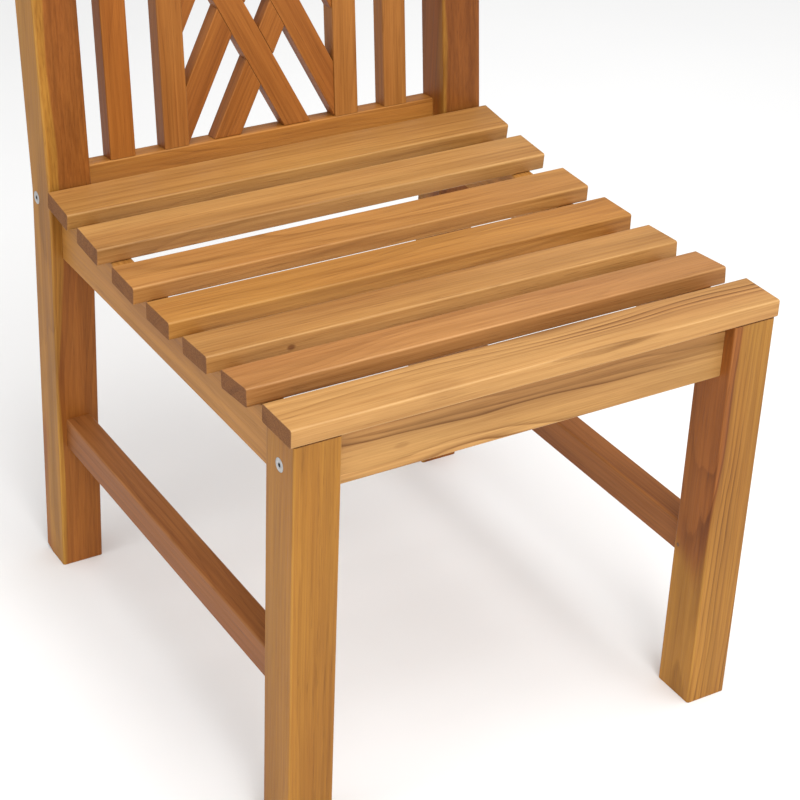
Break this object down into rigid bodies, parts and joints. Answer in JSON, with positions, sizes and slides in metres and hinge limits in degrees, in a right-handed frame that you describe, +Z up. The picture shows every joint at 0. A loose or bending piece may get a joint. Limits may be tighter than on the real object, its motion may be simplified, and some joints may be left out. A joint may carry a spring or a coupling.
{
  "type": "garden chair",
  "caption": "Armless slatted teak garden chair: dished slat seat on mortised side frames, raked back with upright slats and a diagonal lattice panel",
  "frame": {"origin": "On the floor, under the middle of the bounding box", "axes": "+Z up, -Y is the front of the chair, +X is to the right of someone who looks at the chair from the front; left and right in node names are from that view"},
  "size_m": [0.5, 0.5908, 0.9],
  "materials": {
    "teak_frame": "oiled teak, planed and sanded, satin",
    "teak_seat": "oiled teak, planed and sanded, satin, dark end grain",
    "teak_back": "oiled teak, planed and sanded, satin",
    "bolt_steel": "bright steel, hexagon socket",
    "nut_steel": "zinc-plated steel",
    "dowel_wood": "plain hardwood dowel"
  },
  "bodies": {
    "root": {"front_leg_left": "teak_frame", "front_leg_right": "teak_frame", "rear_leg_left": "teak_frame", "rear_leg_right": "teak_frame", "front_apron": "teak_frame", "side_rail_left": "teak_frame", "side_rail_right": "teak_frame", "side_stretcher_left": "teak_frame", "side_stretcher_right": "teak_frame", "lower_back_rail": "teak_back", "top_back_rail": "teak_back", "back_slat_1": "teak_back", "back_slat_2": "teak_back", "back_slat_3": "teak_back", "back_slat_4": "teak_back", "lattice_rise_1": "teak_back", "lattice_rise_2": "teak_back", "lattice_rise_3": "teak_back", "lattice_fall_1": "teak_back", "lattice_fall_2": "teak_back", "lattice_fall_3": "teak_back", "seat_slat_1": "teak_seat", "seat_slat_2": "teak_seat", "seat_slat_3": "teak_seat", "seat_slat_4": "teak_seat", "seat_slat_5": "teak_seat", "seat_slat_6": "teak_seat", "seat_slat_7": "teak_seat", "frame_bolts": "bolt_steel", "barrel_nuts": "nut_steel", "rail_dowels": "dowel_wood", "slat_dowels": "dowel_wood", "tenon_pins": "dowel_wood"}
  },
  "joints": []
}
